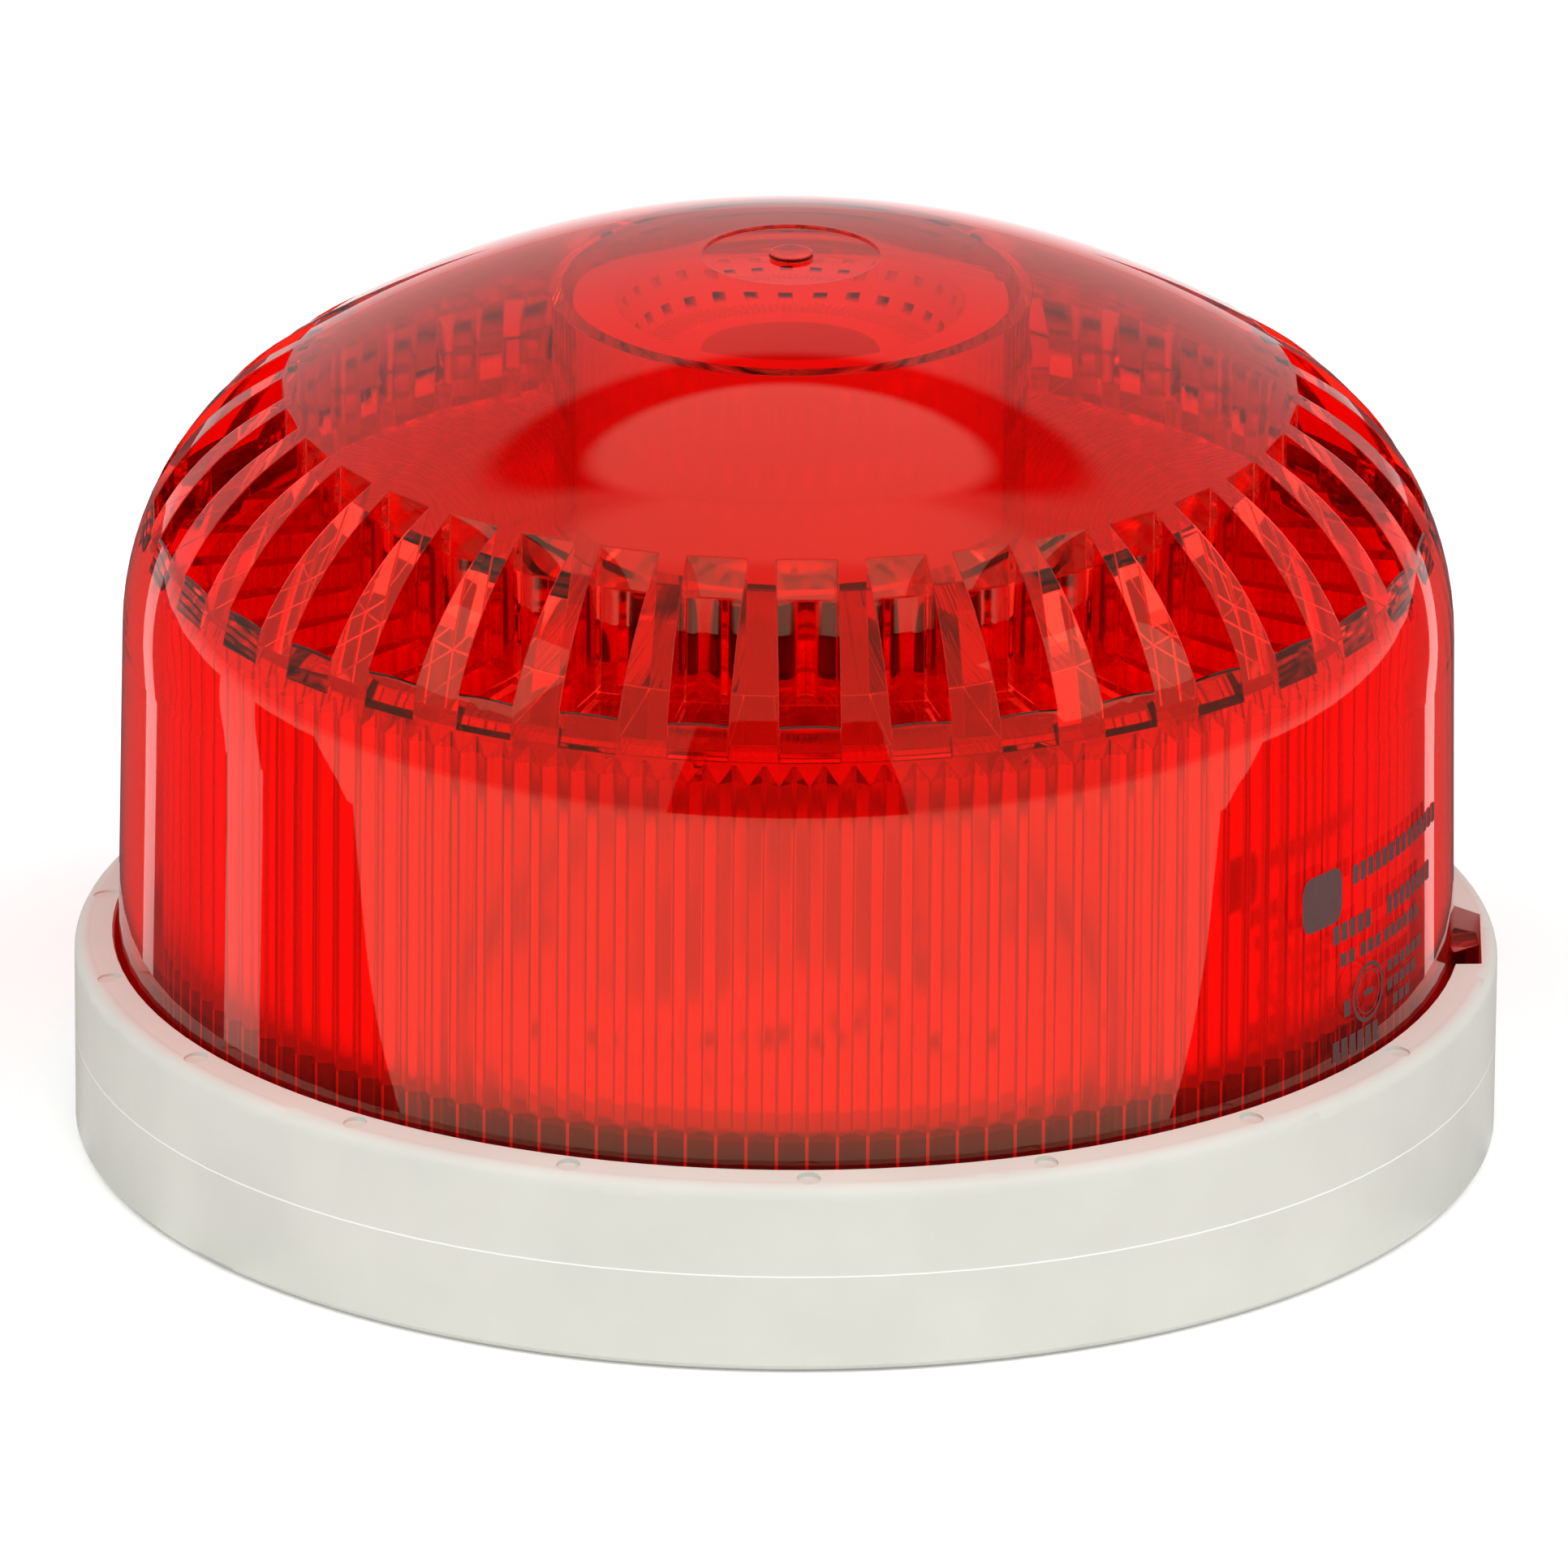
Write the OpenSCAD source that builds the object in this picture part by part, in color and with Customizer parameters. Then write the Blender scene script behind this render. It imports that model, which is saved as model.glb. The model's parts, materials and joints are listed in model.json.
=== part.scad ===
// Horn strobe: a fire alarm sounder and a flashing beacon in one round housing.
// The origin is the centre of the rear face. +Z points away from the wall, and the release
// pocket in the rim is on the +X side. All sizes are in millimetres.

/* [Base] */
// Outer radius of the base
base_r = 54; // [53.6:0.1:55]
// Height of the base, from the wall to its rim
base_h = 14.8; // [14.4:0.1:15.2]
// Inner radius of the rim
rim_r = 51; // [51:0.1:51.4]
// Thickness of the base floor
floor_t = 2.4; // [2.2:0.1:2.5]
// Rounding of the rim's outer edge
rim_round = 1.2; // [0.6:0.1:1.3]
// Number of shallow ejector marks around the rim
rim_marks = 18; // [0:1:24]

/* [Wall fixings] */
// Pitch circle of the four wall screws
fixing_pcd = 70; // [68:1:72]
// Distance between the two conduit box screws
box_pitch = 50.8; // [50:0.1:51]
// Radius of every screw hole
fixing_hole_r = 2.3; // [1.8:0.1:2.4]
// Distance of the cable entry from the centre
entry_y = 16; // [15:1:17]
// Radius of the cable hole in the grommet
cable_r = 3.5; // [2.5:0.1:4]

/* [Cover] */
// Height of the whole object
total_h = 69.8; // [69:0.1:71]
// Outer radius at the foot of the cover's wall
wall_foot_r = 50.8; // [50.6:0.1:50.9]
// Outer radius at the top of the cover's wall
wall_top_r = 50.4; // [50.2:0.1:50.5]
// Radius of the rounded shoulder, in section
shoulder_round = 21.7; // [20:0.1:23]
// Angle over which the shoulder turns before the cap begins
shoulder_turn = 56.2; // [54:0.1:58]
// Thickness of the wall
wall_t = 1.8; // [1.6:0.1:1.9]
// Thickness of the cap
cap_t = 2.8; // [2.2:0.1:3]

/* [Louvres] */
// Number of slots around the shoulder
louvres = 36; // [24:1:36]
// Width of a slot
louvre_w = 4.6; // [4:0.1:5.2]
// Distance from the axis to a slot's inner end
louvre_in = 38.3; // [38:0.1:39.5]
// Distance from the axis to a slot's outer end
louvre_out = 48; // [46.5:0.1:48.2]

/* [Inner lens] */
// Number of vertical flutes
flutes = 132; // [96:1:160]
// Radius over the flutes
flute_tip_r = 47.3; // [47:0.1:47.4]
// Depth of a flute
flute_depth = 0.7; // [0.4:0.1:0.9]
// Inner radius of the lens wall
lens_in_r = 45.2; // [45.1:0.1:45.4]
// Height of the deck under the louvres
deck_z = 47; // [46.6:0.1:47.1]
// Radius of the well in the deck
well_r = 27; // [26:0.1:28]
// Height of the well's floor
well_z = 36; // [35.5:0.1:36]

/* [Head movement] */
// Angle that the head turns to release, in degrees
twist = 8; // [6:0.5:8]
// Travel of a tone switch slider
slider_travel = 1.6; // [1.2:0.1:1.6]

/* [Tone switch and volume] */
// Number of sliders
sliders = 6;
// Distance from one slider to the next
slider_pitch = 2.54; // [2.4:0.02:2.6]
// Radius of the volume trimmer's rotor
rotor_r = 2.35; // [2:0.05:2.35]

/* [Hidden] */
$fn = 96;
eps = 0.5;

// Rear gasket and seals
gasket_in_r = 43.5;
gasket_out_r = 49.5;
gasket_t = 1.2;
seal_in_r = 48.9;
seal_t = 1.6;

// The rim's top rises a little towards the cover
rim_rise = 0.3;

// Cable grommet
entry_r = 9;
grommet_flange_r = 10.8;
grommet_flange_t = 1.2;
grommet_top = 7;
grommet_nipple_r = 5;

// Bayonet, whose hooks stand on the base floor and hold lugs inside the chassis skirt
hook_angles = [-8.5, 111.5, 231.5];
lug_span = 14;
hook_start = lug_span - twist + 0.5;
hook_end = 17;
stop_start = 14.4;
hook_in_r = 38.6;
hook_mid_r = 41.2;
hook_out_r = 43;
hook_z = 7;
hook_top = 8.8;
hook_inset = 0.4;
lug_in_r = 41.6;
lug_gap = 0.2;

// Release pocket in the rim and the cover's lock lug inside it
pocket_angle = -2;
pocket_half = 8;
pocket_far_half = 5.8;
pocket_r = 53;
pocket_z = 8;
lock_gap = 0.3;
lock_span = 2 * pocket_half - twist - 0.8;
lock_far_span = 2 * pocket_far_half - twist - 0.6;
lock_r = 52.7;
lock_z = 8.4;
lock_top = 13.4;

// Cover outline, from the wall up over the shoulder to the cap
cover_z = 4.2;
shoulder_cx = wall_top_r - shoulder_round;
cap_edge_r = shoulder_cx + shoulder_round * cos(shoulder_turn);
cap_round = cap_edge_r / cos(shoulder_turn);
cap_cz = total_h - cap_round;
shoulder_z = total_h - shoulder_round * sin(shoulder_turn) - cap_round * (1 - sin(shoulder_turn));
louvre_z = deck_z + 0.3;
baffle_r = 17.7;
baffle_t = 0.9;
baffle_z = 47.6;
gate_disc_r = 6.7;
gate_disc_depth = 0.45;
gate_r = 1.65;
bead_in_r = 48.1;
bead_t = 0.9;

// Chassis
skirt_r = 44.9;
skirt_t = 1.6;
skirt_z = 4.6;
chassis_top = 17;
flange_r = 48.7;
flange_z = cover_z + bead_t;
flange_t = 1.6;
chassis_floor_z = 12.6;
chassis_floor_t = 1.6;
board_post_r = 2.8;
board_screw_r = 1;
board_screw_at = 39.5;

// Lens seal and inner lens
lens_seal_t = 1;
lens_z = flange_z + flange_t + lens_seal_t;
deck_t = 1.8;
lip_round = 6;
lip_cx = well_r + lip_round;
flute_root_r = flute_tip_r - flute_depth;
tip_land = 0.11;
root_land = 0.16;
flute_end_z = 44.4;
flute_end_slope = 1.57;
deck_edge_r = flute_tip_r - (deck_z - flute_end_z) / flute_end_slope;
throat_hole_r = 15.2;

// Main board and the parts on it
board_r = 43;
board_t = 1.6;
board_top = chassis_top;
board_z = board_top - board_t;
leds = 12;
led_ring_r = 36;
led_size = 5;
led_t = 1.2;
resistors = 18;
resistor_ring_r = 30.4;
inductor_y = 26.5;

// Sounder
drum_r = 19.5;
drum_t = 1.7;
drum_top = well_z - deck_t - 0.8;
piezo_z = 29.4;
piezo_r = 17.7;
piezo_t = 0.3;
ceramic_r = 12.5;
ceramic_t = 0.25;
clamp_top = 32.5;
lead_r = 0.6;
lead_x = 3;
flare_top = 64.4;
flare_top_r = 13.9;
flare_neck_r = 8;
flare_bore_r = 6.7;
flare_flange_r = 18.5;
flare_flange_t = 1.2;
flare_wall = 0.9;
bowl_z = 61;
bowl_r = 11.1;
bowl_windows = 28;
window_rows = [61.4, 63.1];
window_w = 1.1;
window_h = 0.7;
horn_skirt_r = 16;
horn_skirt_z = 48.6;
fins = 12;
fin_z = 51;
fin_top = 59;
ridges = 120;
ridge_in_r = 8.9;
ridge_w = 0.16;
ridge_h = 0.25;
grille_z = 44;
grille_slots = 12;

// Terminals and contacts
poles = 6;
pole_pitch = 6;
block_y = 9;
block_d = 12;
block_h = 7;
pin_y = 24;
pin_r = 1;
pin_z = 10.2;
spring_w = 2.4;
spring_t = 0.4;
spring_top = 10.1;

// Tone switch and volume trimmer, on the rear of the board
switch_y = -30;
switch_z = 12.9;
switch_d = 7;
switch_l = sliders * slider_pitch + 1.2;
slider_w = 1.3;
slider_d = 1.5;
slider_end_gap = 0.15;
slot_d = slider_travel + slider_d + 2 * slider_end_gap;
slider_z = 12.3;
slider_top = 14.2;
trimmer_x = 20;
trimmer_y = -22;
trimmer_size = 6.6;
trimmer_z = 12.8;
rotor_gap = 0.05;

// A flat ring between two heights
module ring(out_r, in_r, z0, z1) {
    translate([0, 0, z0]) difference() {
        cylinder(h = z1 - z0, r = out_r);
        translate([0, 0, -eps]) cylinder(h = z1 - z0 + 2 * eps, r = in_r);
    }
}

// Part of a ring, from angle a0 to angle a1
module ring_part(out_r, in_r, a0, a1, z0, z1) {
    rotate([0, 0, a0]) rotate_extrude(angle = a1 - a0)
        translate([in_r, z0]) square([out_r - in_r, z1 - z0]);
}

// A box centred on x and y, between two heights
module post(w, d, z0, z1) {
    translate([-w / 2, -d / 2, z0]) cube([w, d, z1 - z0]);
}

module around(count) {
    for (i = [0:count - 1]) rotate([0, 0, i * 360 / count]) children();
}

module at_poles() {
    for (i = [0:poles - 1]) translate([(i - (poles - 1) / 2) * pole_pitch, 0, 0]) children();
}

module at_board_screws() {
    for (a = [15, 165, 195, 345]) rotate([0, 0, a]) translate([board_screw_at, 0, 0]) children();
}

function polar(r, a) = [r * cos(a), r * sin(a)];

// Plan of a block whose ends lean together as it goes outwards
module wedge_plan(in_r, out_r, in_a0, in_a1, out_a0, out_a1) {
    polygon([polar(in_r, in_a0), polar(out_r, out_a0), polar(out_r, out_a1), polar(in_r, in_a1)]);
}

// Base ------------------------------------------------------------------------------------

module base_section() {
    polygon([[rim_r, 0], [base_r - 0.6, 0], [base_r - 0.1, 0.5], [base_r, base_h - rim_round],
        [base_r - rim_round, base_h], [rim_r + 0.15, base_h + rim_rise], [rim_r, base_h]]);
    translate([base_r - rim_round, base_h - rim_round]) circle(rim_round);
}

module hook_section() {
    polygon([[hook_in_r, floor_t - eps], [hook_mid_r, floor_t - eps], [hook_mid_r, hook_z],
        [hook_out_r, hook_z], [hook_out_r, hook_top], [hook_in_r, hook_top]]);
}

// The stop is set into the hook on all sides, so that it shares no face with it
module bayonet_hook() {
    rotate([0, 0, hook_start]) rotate_extrude(angle = hook_end - hook_start) hook_section();
    ring_part(hook_out_r - hook_inset, hook_mid_r - hook_inset, stop_start, hook_end - hook_inset,
        floor_t - eps, hook_z + hook_inset);
}

module release_pocket() {
    rotate([0, 0, pocket_angle]) translate([0, 0, pocket_z]) linear_extrude(base_h)
        wedge_plan(rim_r - 1, pocket_r, -pocket_half, pocket_half, -pocket_far_half, pocket_far_half);
}

module rim_mark() {
    translate([base_r - 1.7, 0, base_h - 0.12]) cylinder(h = 1, r = 0.9);
}

module base_housing() {
    color([0.9, 0.9, 0.87]) difference() {
        union() {
            rotate_extrude() base_section();
            cylinder(h = floor_t, r = rim_r + 1);
            for (a = hook_angles) rotate([0, 0, a]) bayonet_hook();
        }
        ring(gasket_out_r, gasket_in_r, -eps, gasket_t);
        translate([0, -entry_y, -eps]) cylinder(h = floor_t + 2 * eps, r = entry_r);
        for (a = [45:90:315]) rotate([0, 0, a]) translate([fixing_pcd / 2, 0, -eps])
            cylinder(h = floor_t + 2 * eps, r = fixing_hole_r);
        for (x = [-1, 1]) translate([x * box_pitch / 2, 0, -eps])
            cylinder(h = floor_t + 2 * eps, r = fixing_hole_r);
        release_pocket();
        if (rim_marks > 0) for (i = [0:rim_marks - 1]) {
            a = (i + 0.5) * 360 / rim_marks;
            if (abs(a) > pocket_half + 3 && abs(360 - a) > pocket_half + 3) rotate([0, 0, a]) rim_mark();
        }
    }
}

module rear_gasket() {
    color([0.16, 0.16, 0.17]) ring(gasket_out_r, gasket_in_r, 0, gasket_t);
}

module base_seal() {
    color([0.12, 0.12, 0.13]) ring(rim_r, seal_in_r, floor_t, floor_t + seal_t);
}

module cable_grommet() {
    color([0.14, 0.14, 0.15]) translate([0, -entry_y, 0]) difference() {
        union() {
            cylinder(h = floor_t, r = entry_r);
            translate([0, 0, floor_t]) cylinder(h = grommet_flange_t, r = grommet_flange_r);
            cylinder(h = grommet_top, r = grommet_nipple_r);
        }
        translate([0, 0, -eps]) cylinder(h = grommet_top + 2 * eps, r = cable_r);
    }
}

module terminal_block() {
    block_w = poles * pole_pitch + 1;
    color([0.2, 0.45, 0.3]) difference() {
        translate([-block_w / 2, block_y, floor_t]) cube([block_w, block_d, block_h]);
        at_poles() {
            // Screw well, clamp chamber, wire mouth and contact slot
            translate([0, block_y + 4, 6.9]) cylinder(h = 4, r = 2.1);
            translate([0, block_y + 4, 0]) post(4.4, 5.2, 3.3, 7);
            translate([0, block_y + 0.5, 0]) post(3.2, 2.8, 3.7, 6.4);
            translate([0, block_y + 8.2, 0]) post(spring_w + 0.1, 3.7, 3.3, 12);
        }
    }
}

module terminal_clamps() {
    color([0.8, 0.66, 0.32]) at_poles() translate([0, block_y + 4, 0]) difference() {
        post(4.2, 4.6, 3.4, 6.9);
        post(3, 6, 3.9, 5.6);
        translate([0, 0, 5]) cylinder(h = 3, r = 1.25);
    }
}

module terminal_screws() {
    color([0.75, 0.75, 0.77]) at_poles() translate([0, block_y + 4, 0]) difference() {
        union() {
            translate([0, 0, 5.2]) cylinder(h = 2.2, r = 1.25);
            translate([0, 0, 7.1]) cylinder(h = 1.7, r = 1.95);
        }
        post(5, 0.6, 8.1, 10);
    }
}

module contact_springs() {
    y0 = block_y + 6.4;
    y1 = block_y + 9.6;
    color([0.82, 0.68, 0.3]) at_poles() {
        translate([-spring_w / 2, y0, 3.4]) cube([spring_w, y1 - y0 + spring_t, spring_t]);
        translate([-spring_w / 2, y1, 3.4]) cube([spring_w, spring_t, spring_top - 3.4]);
        translate([-spring_w / 2, y1, spring_top - spring_t]) cube([spring_w, 7.4, spring_t]);
    }
}

// Head ------------------------------------------------------------------------------------

module chassis() {
    color([0.2, 0.2, 0.22]) difference() {
        union() {
            ring(skirt_r, skirt_r - skirt_t, skirt_z, board_z);
            ring(flange_r, skirt_r - 0.4, flange_z, flange_z + flange_t);
            translate([0, 0, chassis_floor_z]) cylinder(h = chassis_floor_t, r = skirt_r - 0.4);
            for (a = hook_angles) rotate([0, 0, a])
                ring_part(skirt_r - 0.4, lug_in_r, 0, lug_span, skirt_z, hook_z - lug_gap);
            at_board_screws() translate([0, 0, chassis_floor_z])
                cylinder(h = board_z - chassis_floor_z, r = board_post_r);
        }
        at_board_screws() translate([0, 0, chassis_floor_z + 0.6]) cylinder(h = 9, r = board_screw_r);
        translate([0, switch_y, 0]) post(switch_l + 1.2, switch_d + 1.2, 10, board_z);
        translate([trimmer_x, trimmer_y, 0]) post(trimmer_size + 0.8, trimmer_size + 0.8, 10, board_z);
        at_poles() translate([0, pin_y, chassis_floor_z - eps]) cylinder(h = 3, r = pin_r + 0.2);
    }
}

module lens_seal() {
    color([0.12, 0.12, 0.13]) ring(flute_tip_r, lens_in_r, flange_z + flange_t, lens_z);
}

// Everything inside the cover's outer surface, taken in by a thickness
module cover_outline(inset) {
    c = [shoulder_cx, shoulder_z];
    r = shoulder_round - inset;
    edge = c + polar(r, shoulder_turn);
    polygon([[0, cover_z], [wall_foot_r - inset, cover_z], [wall_top_r - inset, shoulder_z], edge,
        [0, total_h - inset], [0, cover_z]]);
    intersection() {
        translate(c) circle(r);
        translate(c)
            polygon([[0, 0], [2 * r, 0], polar(2 * r, shoulder_turn / 2), polar(2 * r, shoulder_turn)]);
    }
    intersection() {
        translate([0, cap_cz]) circle(cap_round - inset);
        translate([0, cap_cz]) polygon([[0, 0], polar(2 * cap_round, shoulder_turn), [0, 2 * cap_round]]);
        translate([0, shoulder_z]) square([60, 60]);
    }
}

module cover_section() {
    difference() {
        cover_outline(0);
        intersection() {
            cover_outline(wall_t);
            translate([0, -eps]) square([60, louvre_z + eps]);
        }
        intersection() {
            cover_outline(cap_t);
            square([louvre_in, 80]);
        }
        square([wall_foot_r - wall_t, cover_z + bead_t]);
    }
    // Hanging baffle around the horn
    translate([baffle_r - baffle_t, baffle_z]) square([baffle_t, total_h - 3.6 - baffle_z]);
    // Snap bead under the chassis flange
    translate([bead_in_r, cover_z]) square([wall_foot_r - wall_t - bead_in_r + 0.1, bead_t]);
}

module lock_lug() {
    rear = pocket_half - lock_gap;
    far_rear = pocket_far_half - lock_gap;
    rotate([0, 0, pocket_angle]) translate([0, 0, lock_z]) linear_extrude(lock_top - lock_z)
        wedge_plan(wall_foot_r - 0.6, lock_r, rear - lock_span, rear, far_rear - lock_far_span, far_rear);
}

module outer_cover() {
    color([0.85, 0.08, 0.06, 0.75]) difference() {
        union() {
            rotate_extrude() cover_section();
            lock_lug();
        }
        around(louvres) translate([louvre_in, -louvre_w / 2, louvre_z - 1])
            cube([louvre_out - louvre_in, louvre_w, total_h]);
        translate([0, 0, total_h - gate_disc_depth]) difference() {
            cylinder(h = 3, r = gate_disc_r);
            translate([0, 0, -eps]) cylinder(h = eps + gate_disc_depth - 0.1, r = gate_r);
        }
    }
}

// Each flute has a narrow land at its tip and another at its root
module fluted_plan() {
    half = 180 / flutes;
    polygon([for (i = [0:flutes - 1]) each [
        polar(flute_tip_r, 2 * i * half - tip_land), polar(flute_tip_r, 2 * i * half + tip_land),
        polar(flute_root_r, (2 * i + 1) * half - root_land),
        polar(flute_root_r, (2 * i + 1) * half + root_land)]]);
}

module inner_lens() {
    color([0.9, 0.12, 0.08, 0.7]) union() {
        difference() {
            intersection() {
                translate([0, 0, lens_z]) linear_extrude(deck_z - lens_z) fluted_plan();
                rotate_extrude() polygon([[0, 0], [flute_tip_r + 1, 0],
                    [flute_tip_r + 1, flute_end_z - flute_end_slope], [deck_edge_r, deck_z], [0, deck_z]]);
            }
            cylinder(h = deck_z - deck_t, r = lens_in_r);
            cylinder(h = total_h, r = lip_cx - 0.01);
        }
        rotate_extrude() {
            intersection() {
                translate([lip_cx, deck_z - lip_round]) difference() {
                    circle(lip_round);
                    circle(lip_round - deck_t);
                }
                translate([well_r - 1, deck_z - lip_round]) square([lip_round + 1, lip_round + 1]);
            }
            translate([well_r, well_z - deck_t]) square([deck_t, deck_z - lip_round - well_z + deck_t]);
            translate([throat_hole_r, well_z - deck_t]) square([well_r - throat_hole_r + 0.1, deck_t]);
        }
    }
}

module main_board() {
    color([0.93, 0.93, 0.9]) difference() {
        translate([0, 0, board_z]) cylinder(h = board_t, r = board_r);
        at_board_screws() translate([0, 0, board_z - eps]) cylinder(h = 3, r = board_screw_r + 0.15);
    }
}

module board_screws() {
    color([0.75, 0.75, 0.77]) at_board_screws() difference() {
        union() {
            translate([0, 0, chassis_floor_z + 0.8])
                cylinder(h = board_top - chassis_floor_z, r = board_screw_r);
            translate([0, 0, board_top]) cylinder(h = 1.3, r = 2.1);
        }
        post(2.4, 0.5, board_top + 0.6, board_top + 3);
        post(0.5, 2.4, board_top + 0.6, board_top + 3);
    }
}

module contact_pins() {
    color([0.82, 0.68, 0.3]) at_poles() translate([0, pin_y, 0]) {
        translate([0, 0, pin_z]) cylinder(h = board_z - pin_z, r = pin_r);
        translate([0, 0, pin_z]) cylinder(h = 0.6, r = 1.5);
    }
}

module strobe_leds() {
    color([0.96, 0.95, 0.85]) around(leds) translate([led_ring_r, 0, 0])
        post(led_size, led_size, board_top, board_top + led_t);
}

module led_lenses() {
    color([0.95, 0.85, 0.35, 0.8]) around(leds) translate([led_ring_r, 0, board_top + led_t])
        intersection() {
            translate([0, 0, -1]) sphere(r = 2.2, $fn = 48);
            cylinder(h = 3, r = 3);
        }
}

module can(x, y, r, h) {
    translate([x, y, board_top]) cylinder(h = h, r = r);
}

module capacitors() {
    color([0.15, 0.15, 0.2]) {
        can(-21.5, -18.7, 3.15, 7.2);
        can(21.4, -14, 4, 9);
        can(-27.5, 4, 3.15, 7.2);
    }
}

module inductor() {
    color([0.3, 0.28, 0.26]) translate([0, inductor_y, 0]) {
        translate([0, 0, board_top]) cylinder(h = 1, r = 4.6);
        translate([0, 0, board_top + 1]) cylinder(h = 3, r = 3.6);
        translate([0, 0, board_top + 4]) cylinder(h = 1, r = 4.6);
    }
}

module driver_chip() {
    color([0.12, 0.12, 0.13]) translate([24, 6, 0]) {
        post(5, 6.2, board_top + 0.15, board_top + 1.7);
        for (i = [-1.5:1:1.5]) translate([0, i * 1.27, 0]) post(7, 0.45, board_top, board_top + 0.9);
    }
}

module rectifier() {
    color([0.12, 0.12, 0.13]) translate([-20, 19, 0]) {
        post(5, 6.5, board_top + 0.1, board_top + 2.5);
        for (x = [-1.6, 1.6]) translate([x, 0, 0]) post(0.8, 8.5, board_top, board_top + 0.8);
    }
}

module chip_resistors() {
    color([0.2, 0.2, 0.2]) for (i = [0:resistors - 1]) rotate([0, 0, -110 + i * 140 / resistors])
        if (i % 3 != 2) translate([resistor_ring_r, 0, 0]) post(1.2, 2, board_top, board_top + 0.6);
}

module sounder_housing() {
    color([0.95, 0.95, 0.93]) difference() {
        union() {
            ring(drum_r, drum_r - drum_t, board_top, drum_top);
            ring(drum_r - 0.5, drum_r - drum_t - 1.6, piezo_z - 1.4, piezo_z);
            translate([0, 0, board_top + 5]) cylinder(h = 1.4, r = drum_r - 0.5);
        }
        for (x = [-1, 1]) translate([x * lead_x, 0, board_top]) cylinder(h = 9, r = lead_r + 0.2);
    }
}

module piezo_disc() {
    color([0.85, 0.7, 0.3]) translate([0, 0, piezo_z]) cylinder(h = piezo_t, r = piezo_r);
}

module piezo_ceramic() {
    color([0.9, 0.9, 0.88]) translate([0, 0, piezo_z - ceramic_t]) cylinder(h = ceramic_t, r = ceramic_r);
}

module clamp_ring() {
    color([0.2, 0.2, 0.2]) ring(piezo_r, 15.5, piezo_z + piezo_t, clamp_top);
}

module sounder_gasket() {
    color([0.12, 0.12, 0.13]) ring(drum_r - 0.1, throat_hole_r + 0.2, drum_top, well_z - deck_t);
}

module horn_section() {
    polygon([[flare_bore_r, drum_top - 0.6], [throat_hole_r - 0.2, drum_top - 0.6],
        [throat_hole_r - 0.2, well_z], [flare_flange_r, well_z], [flare_flange_r, well_z + flare_flange_t],
        [flare_neck_r, well_z + flare_flange_t], [flare_neck_r, bowl_z - flare_wall],
        [bowl_r + flare_wall, bowl_z - flare_wall], [flare_top_r - 0.3, flare_top - flare_wall],
        [horn_skirt_r - flare_wall, flare_top - flare_wall], [horn_skirt_r - flare_wall, horn_skirt_z],
        [horn_skirt_r, horn_skirt_z], [horn_skirt_r, flare_top], [flare_top_r - flare_wall, flare_top],
        [bowl_r, bowl_z], [flare_bore_r, bowl_z]]);
}

// A throat that opens into a shallow bowl, with windows in the bowl's wall and ridges on its
// floor. A skirt hangs from the bowl's rim, and fins join it to the throat.
module horn_flare() {
    color([0.93, 0.9, 0.85]) {
        difference() {
            rotate_extrude() horn_section();
            for (z = window_rows) around(bowl_windows) translate([bowl_r - 1, -window_w / 2, z])
                cube([2.8, window_w, window_h]);
        }
        around(fins) translate([flare_neck_r - 0.5, -0.5, fin_z])
            cube([horn_skirt_r - flare_wall - flare_neck_r + 0.9, 1, fin_top - fin_z]);
        around(ridges) translate([ridge_in_r, -ridge_w / 2, bowl_z - 0.4])
            cube([bowl_r - 0.15 - ridge_in_r, ridge_w, 0.4 + ridge_h]);
    }
}

module throat_grille() {
    color([0.1, 0.1, 0.1]) difference() {
        translate([0, 0, grille_z]) cylinder(h = 1.4, r = flare_bore_r);
        around(grille_slots) translate([2.2, -0.5, grille_z - 1]) cube([3.4, 1, 4]);
    }
}

module sounder_leads() {
    color([0.7, 0.1, 0.1]) for (x = [-1, 1]) translate([x * lead_x, 0, board_top])
        cylinder(h = piezo_z - ceramic_t - board_top, r = lead_r);
}

// Tone switch and volume trimmer ------------------------------------------------------------

function slider_x(i) = (i - (sliders + 1) / 2) * slider_pitch;

module tone_switch_body() {
    color([0.15, 0.25, 0.55]) difference() {
        translate([0, switch_y, 0]) post(switch_l, switch_d, switch_z, board_z);
        for (i = [1:sliders]) translate([slider_x(i), switch_y, 0])
            post(slider_w + 0.2, slot_d, switch_z - 1, slider_top + 0.2);
    }
}

// One slider in its off position, at the rear end of its slot
module tone_slider(i) {
    color([0.95, 0.95, 0.92]) translate([slider_x(i), switch_y - slider_travel / 2, 0])
        post(slider_w, slider_d, slider_z, slider_top);
}

module trimmer_body() {
    color([0.2, 0.35, 0.7]) translate([trimmer_x, trimmer_y, 0]) difference() {
        post(trimmer_size, trimmer_size, trimmer_z, board_z);
        translate([0, 0, trimmer_z - 1]) cylinder(h = 2.4, r = rotor_r + rotor_gap);
    }
}

module trimmer_rotor() {
    color([0.95, 0.95, 0.92]) translate([trimmer_x, trimmer_y, 0]) difference() {
        translate([0, 0, trimmer_z - 0.5]) cylinder(h = 1.8, r = rotor_r);
        post(3.6, 0.7, trimmer_z - 2, trimmer_z + 0.3);
        translate([0.7, 0, 0]) post(0.7, 1.8, trimmer_z - 2, trimmer_z + 0.3);
    }
}

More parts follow.
